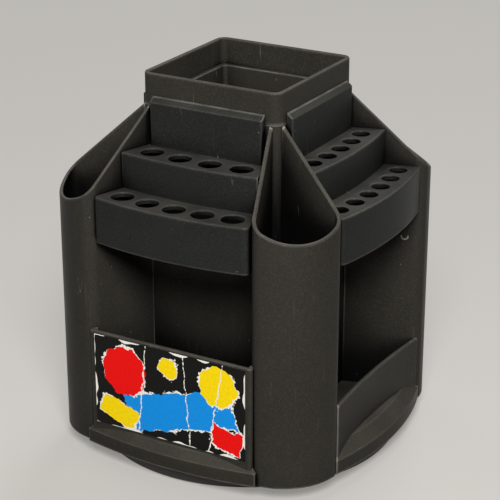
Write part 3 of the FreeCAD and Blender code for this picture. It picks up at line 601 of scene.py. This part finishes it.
class CADDY_OT_sticker(bpy.types.Operator):
    """Lay the printed sticker on the tall bin front"""

    bl_idname = "caddy.sticker"
    bl_label = "Make Sticker"

    def execute(self, context):
        low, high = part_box("label")
        width = high.x - low.x
        height = high.z - low.z
        thickness = high.y - low.y
        across, up = STICKER_CELLS
        shape = bmesh.new()
        bmesh.ops.create_grid(shape, x_segments=across, y_segments=up, size=0.5)
        flat = shape.loops.layers.uv.new("sticker")
        for face in shape.faces:
            for loop in face.loops:
                loop[flat].uv = (loop.vert.co.x + 0.5, loop.vert.co.y + 0.5)
        bmesh.ops.scale(shape, vec=(width, height, 1.0), verts=shape.verts)
        grown = bmesh.ops.extrude_face_region(shape, geom=shape.faces[:])
        raised = [item for item in grown["geom"] if isinstance(item, bmesh.types.BMVert)]
        bmesh.ops.translate(shape, vec=(0.0, 0.0, thickness), verts=raised)
        bmesh.ops.recalc_face_normals(shape, faces=shape.faces)
        upright = Matrix.Translation(((low.x + high.x) / 2, high.y, (low.z + high.z) / 2))
        upright = upright @ Matrix.Rotation(math.radians(90), 4, "X")
        bmesh.ops.transform(shape, matrix=upright, verts=shape.verts)
        paper = printed_paper("printed_paper", width, height)
        sticker = new_piece(context, "sticker", shape, paper)
        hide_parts("label")
        return {"FINISHED"}


# Lamps of the stage: azimuth and elevation in degrees, distance and diameter in metres
LAMPS = {
    "key": (32.0, 40.0, 1.1, 0.45),
    "top": (30.0, 82.0, 2.2, 1.4),
    "left": (-115.0, 25.0, 2.2, 1.2),
    "back": (185.0, 50.0, 2.2, 1.0),
}
# Height that the lamps point at, in metres
LIT_HEIGHT = 0.08
# Width of the camera's sensor in mm
SENSOR_WIDTH = 36.0


def direction(azimuth, elevation):
    """The way from the axis to something seen at an azimuth from the front and an elevation."""
    level = math.cos(elevation)
    return Vector((math.sin(azimuth) * level, -math.cos(azimuth) * level, math.sin(elevation)))


def seen_ray(owner):
    """1 for what is seen by the camera, also in a reflection or through glass, and 0 for light thrown on."""
    ray = add_node(owner, "ShaderNodeLightPath").node.outputs
    seen = ray["Is Camera Ray"]
    for kind in ("Is Glossy Ray", "Is Transmission Ray"):
        seen = add_node(owner, "ShaderNodeMath", {0: seen, 1: ray[kind]}, operation="MAXIMUM")
    return seen


def pale_floor(stage):
    """Matt floor that looks pale, also far off and in reflections, and throws little light on the caddy."""
    material = new_material("pale_floor")
    add = partial(add_node, material)
    seen = seen_ray(material)
    dim = toned(stage.floor, stage.bounce)
    return finish_surface(material, {
        "Base Color": add("ShaderNodeMix", {COVER: seen, LOWER: dim, UPPER: stage.floor}, out=MIXED,
                          data_type="RGBA"),
        "Roughness": 0.8,
        "Emission Color": stage.floor,
        "Emission Strength": add("ShaderNodeMath", {0: seen, 1: stage.glow}, operation="MULTIPLY"),
    })


class CADDY_OT_stage(bpy.types.Operator):
    """Set the floor, the soft lights and the camera"""

    bl_idname = "caddy.stage"
    bl_label = "Set Stage"

    def execute(self, context):
        scene = context.scene
        stage = scene.caddy_stage
        scene.view_settings.view_transform = "Standard"
        self.lay_floor(scene, stage)
        self.light_world(scene, stage)
        self.hang_lamps(scene, stage)
        self.place_camera(scene, stage)
        return {"FINISHED"}

    def lay_floor(self, scene, stage):
        """A large level sheet under the caddy."""
        ground = bmesh.new()
        bmesh.ops.create_grid(ground, x_segments=1, y_segments=1, size=stage.floor_size)
        mesh = bpy.data.meshes.new("floor")
        ground.to_mesh(mesh)
        ground.free()
        floor = bpy.data.objects.new("floor", mesh)
        scene.collection.objects.link(floor)
        mesh.materials.append(pale_floor(stage))

    def light_world(self, scene, stage):
        """Surroundings that look as pale as the unlit floor and give a little even light."""
        world = bpy.data.worlds.new("studio")
        scene.world = world
        world.use_nodes = True
        sky = world.node_tree.nodes["Background"].inputs
        sky["Color"].default_value = stage.floor
        strength = add_node(world, "ShaderNodeMapRange", {"Value": seen_ray(world), "To Min": stage.sky,
                                                          "To Max": stage.glow})
        world.node_tree.links.new(strength, sky["Strength"])

    def hang_lamps(self, scene, stage):
        """Round soft lamps that point at the caddy."""
        for name, (azimuth, elevation, distance, size) in LAMPS.items():
            away = direction(math.radians(azimuth), math.radians(elevation))
            lamp = bpy.data.lights.new(name, "AREA")
            lamp.shape = "DISK"
            lamp.size = size
            lamp.energy = getattr(stage, name)
            light = bpy.data.objects.new(name, lamp)
            light.location = Vector((0.0, 0.0, LIT_HEIGHT)) + away * distance
            light.rotation_euler = away.to_track_quat("Z", "Y").to_euler()
            scene.collection.objects.link(light)

    def place_camera(self, scene, stage):
        """A camera at the photograph's viewing angle."""
        lens = bpy.data.cameras.new("camera")
        lens.sensor_width = SENSOR_WIDTH
        lens.lens = stage.lens
        camera = bpy.data.objects.new("camera", lens)
        away = direction(stage.azimuth, stage.elevation)
        right = Vector((math.cos(stage.azimuth), math.sin(stage.azimuth), 0.0))
        aim = right * stage.aim_side + Vector((0.0, 0.0, stage.aim_height))
        camera.location = aim + away * stage.distance
        camera.rotation_euler = away.to_track_quat("Z", "Y").to_euler()
        scene.collection.objects.link(camera)
        scene.camera = camera


class CADDY_PT_panel(bpy.types.Panel):
    """The caddy's pieces and finishes in the sidebar"""

    bl_idname = "CADDY_PT_panel"
    bl_label = "Turning Desk Caddy"
    bl_space_type = "VIEW_3D"
    bl_region_type = "UI"
    bl_category = "Caddy"

    def draw(self, context):
        for operator in OPERATORS:
            self.layout.operator(operator.bl_idname)
        for settings in SETTINGS:
            group = getattr(context.scene, settings)
            box = self.layout.box()
            for name in group.__annotations__:
                box.prop(group, name)


OPERATORS = (
    CADDY_OT_body_finish,
    CADDY_OT_rack_finish,
    CADDY_OT_base_finish,
    CADDY_OT_bearing_finish,
    CADDY_OT_moulding_marks,
    CADDY_OT_sticker,
    CADDY_OT_stage,
)
SETTINGS = {
    "caddy_finish": FinishSettings,
    "caddy_sticker": StickerSettings,
    "caddy_marks": MarkSettings,
    "caddy_stage": StageSettings,
}
CLASSES = (*SETTINGS.values(), *OPERATORS, CADDY_PT_panel)


def register():
    """Add the settings, the operators and the panel."""
    for kind in CLASSES:
        bpy.utils.register_class(kind)
    for name, kind in SETTINGS.items():
        setattr(bpy.types.Scene, name, PointerProperty(type=kind))


def unregister():
    """Take away what register added."""
    for name in SETTINGS:
        delattr(bpy.types.Scene, name)
    for kind in reversed(CLASSES):
        bpy.utils.unregister_class(kind)


def main():
    """Dress the caddy and set the stage."""
    register()
    bpy.ops.caddy.body_finish()
    bpy.ops.caddy.rack_finish()
    bpy.ops.caddy.base_finish()
    bpy.ops.caddy.bearing_finish()
    bpy.ops.caddy.moulding_marks()
    bpy.ops.caddy.sticker()
    bpy.ops.caddy.stage()


if __name__ == "__main__":
    main()
